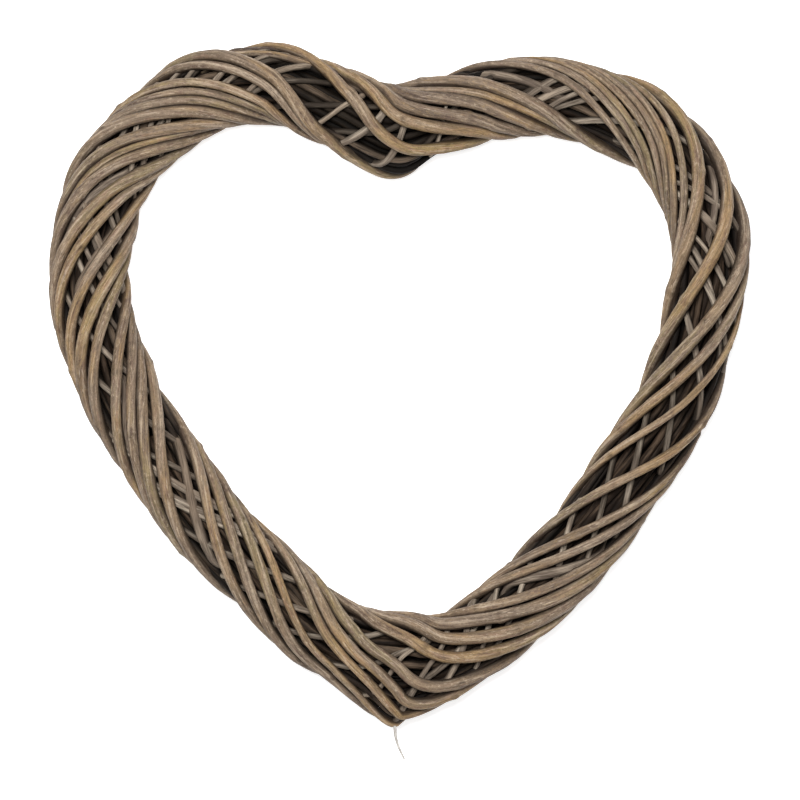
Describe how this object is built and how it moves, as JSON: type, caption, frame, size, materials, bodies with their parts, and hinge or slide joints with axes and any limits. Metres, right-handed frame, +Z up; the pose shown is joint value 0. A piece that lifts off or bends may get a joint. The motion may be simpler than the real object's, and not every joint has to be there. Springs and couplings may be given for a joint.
{
  "type": "heart-shaped willow wreath",
  "caption": "Open heart-shaped wreath of twisted willow rods wound round an inner bundle, lying on its back, to hang on a wall or lay on a table.",
  "frame": {"origin": "middle of the outline's box on the plane that the wreath lies on", "axes": "+Z up and out of the front of the wreath, +Y towards the dip and lobes of the heart, +X to the right as seen from the front"},
  "size_m": [0.3996, 0.4078, 0.0468],
  "materials": {
    "outer_bark": "weathered tan and grey willow bark, matt",
    "binder_bark": "cool grey dry willow bark, matt",
    "core_bark": "dark brown willow bark, matt",
    "pale_twig": "pale straw-coloured bare twig"
  },
  "bodies": {
    "root": {"wrap_rod_1": "outer_bark", "wrap_rod_2": "outer_bark", "wrap_rod_3": "outer_bark", "wrap_rod_4": "outer_bark", "wrap_rod_5": "outer_bark", "wrap_rod_6": "outer_bark", "wrap_rod_7": "outer_bark", "wrap_rod_8": "outer_bark", "wrap_rod_9": "outer_bark", "wrap_rod_10": "outer_bark", "wrap_rod_11": "outer_bark", "binder_rod_1": "binder_bark", "binder_rod_2": "binder_bark", "binder_rod_3": "binder_bark", "binder_rod_4": "binder_bark", "binder_rod_5": "binder_bark", "core_rod_1": "core_bark", "core_rod_2": "core_bark", "core_rod_3": "core_bark", "core_rod_4": "core_bark", "core_rod_5": "core_bark", "loose_twig_end": "pale_twig"}
  },
  "joints": []
}
